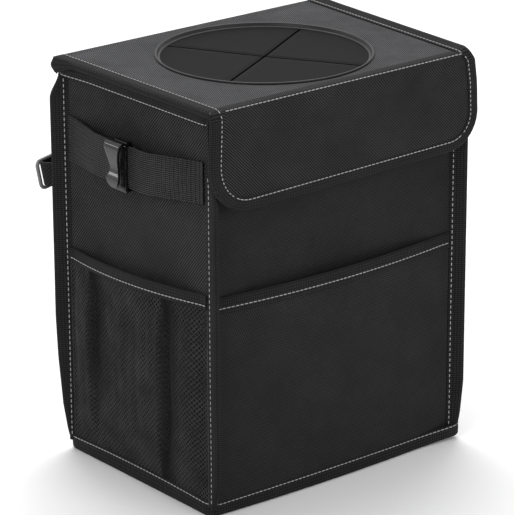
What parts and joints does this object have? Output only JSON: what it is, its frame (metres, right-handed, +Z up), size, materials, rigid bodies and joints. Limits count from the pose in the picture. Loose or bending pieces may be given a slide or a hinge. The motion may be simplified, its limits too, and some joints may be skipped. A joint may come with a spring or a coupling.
{
  "type": "car trash bin",
  "caption": "Upright fabric box on stiff boards for car rubbish: hinged lid with a slit rubber mouth, closing flap, pockets, elastic bands with bag hooks and a back strap.",
  "frame": {"origin": "on the floor under the middle of the base", "axes": "+Z up, the front with the flap faces -Y, +X to the right seen from the front"},
  "size_m": [0.2294, 0.1749, 0.2618],
  "materials": {
    "twill_cloth": "woven twill",
    "plain_cloth": "fine plain weave",
    "lid_cloth": "fine matte weave",
    "binding_tape": "woven tape",
    "knitted_mesh": "open knit",
    "ribbed_elastic": "ribbed elastic",
    "webbing": "woven webbing",
    "hook_and_loop": "hook and loop pile",
    "stiff_board": "matte",
    "lining_film": "satin",
    "soft_rubber": "smooth matte",
    "clip_plastic": "glossy",
    "slider_plastic": "glossy"
  },
  "bodies": {
    "bin": {"front_cover": "plain_cloth", "back_cover": "twill_cloth", "left_cover": "twill_cloth", "right_cover": "twill_cloth", "base_cover": "twill_cloth", "front_board": "stiff_board", "back_board": "stiff_board", "left_board": "stiff_board", "right_board": "stiff_board", "base_board": "stiff_board", "liner": "lining_film", "rim_binding": "binding_tape", "base_binding": "binding_tape", "hinge_strip": "twill_cloth", "loop_strip": "hook_and_loop", "front_pocket": "plain_cloth", "front_pocket_hem": "binding_tape", "back_strap": "webbing", "front_left_binding": "binding_tape", "front_right_binding": "binding_tape", "back_left_binding": "binding_tape", "back_right_binding": "binding_tape", "left_mesh_pocket": "knitted_mesh", "right_mesh_pocket": "knitted_mesh", "left_mesh_pocket_hem": "binding_tape", "right_mesh_pocket_hem": "binding_tape", "left_elastic_band": "ribbed_elastic", "right_elastic_band": "ribbed_elastic"},
    "lid": {"lid_cover": "lid_cloth", "lid_board": "stiff_board", "lid_lining": "lining_film", "left_lid_binding": "binding_tape", "right_lid_binding": "binding_tape", "mouth_ring": "soft_rubber"},
    "flap": {"flap_lining": "lining_film", "flap_board": "stiff_board", "flap_cover": "twill_cloth", "flap_binding": "binding_tape", "hook_strip": "hook_and_loop"},
    "leaf_1": {"mouth_leaf_1": "soft_rubber"},
    "leaf_2": {"mouth_leaf_2": "soft_rubber"},
    "leaf_3": {"mouth_leaf_3": "soft_rubber"},
    "leaf_4": {"mouth_leaf_4": "soft_rubber"},
    "left_clip": {"left_bag_clip": "clip_plastic"},
    "right_clip": {"right_bag_clip": "clip_plastic"},
    "slider": {"strap_slider": "slider_plastic"}
  },
  "joints": [
    {"name": "lid_hinge", "type": "hinge", "parent": "bin", "child": "lid", "pos_m": [0, 0.0747, 0.2555], "axis": [-1, 0, 0], "range_deg": [0, 180]},
    {"name": "flap_hinge", "type": "hinge", "parent": "lid", "child": "flap", "pos_m": [0, -0.08085, 0.26], "axis": [-1, 0, 0], "range_deg": [0, 170]},
    {"name": "leaf_1_hinge", "type": "hinge", "parent": "lid", "child": "leaf_1", "pos_m": [0.01167, 0.03929, 0.259], "axis": [0.9659, -0.2588, 0], "range_deg": [0, 75], "stiffness_Nm_per_rad": 0.05},
    {"name": "leaf_2_hinge", "type": "hinge", "parent": "lid", "child": "leaf_2", "pos_m": [-0.04354, 0.00742, 0.259], "axis": [0.2588, 0.9659, 0], "range_deg": [0, 75], "stiffness_Nm_per_rad": 0.05},
    {"name": "leaf_3_hinge", "type": "hinge", "parent": "lid", "child": "leaf_3", "pos_m": [-0.01167, -0.04779, 0.259], "axis": [-0.9659, 0.2588, 0], "range_deg": [0, 75], "stiffness_Nm_per_rad": 0.05},
    {"name": "leaf_4_hinge", "type": "hinge", "parent": "lid", "child": "leaf_4", "pos_m": [0.04354, -0.01592, 0.259], "axis": [-0.2588, -0.9659, 0], "range_deg": [0, 75], "stiffness_Nm_per_rad": 0.05},
    {"name": "left_clip_slide", "type": "slide", "parent": "bin", "child": "left_clip", "axis": [0, 1, 0], "range_m": [-0.008, 0.008]},
    {"name": "right_clip_slide", "type": "slide", "parent": "bin", "child": "right_clip", "axis": [0, 1, 0], "range_m": [-0.008, 0.008]},
    {"name": "slider_slide", "type": "slide", "parent": "bin", "child": "slider", "axis": [1, 0, 0], "range_m": [0, 0.06]}
  ]
}
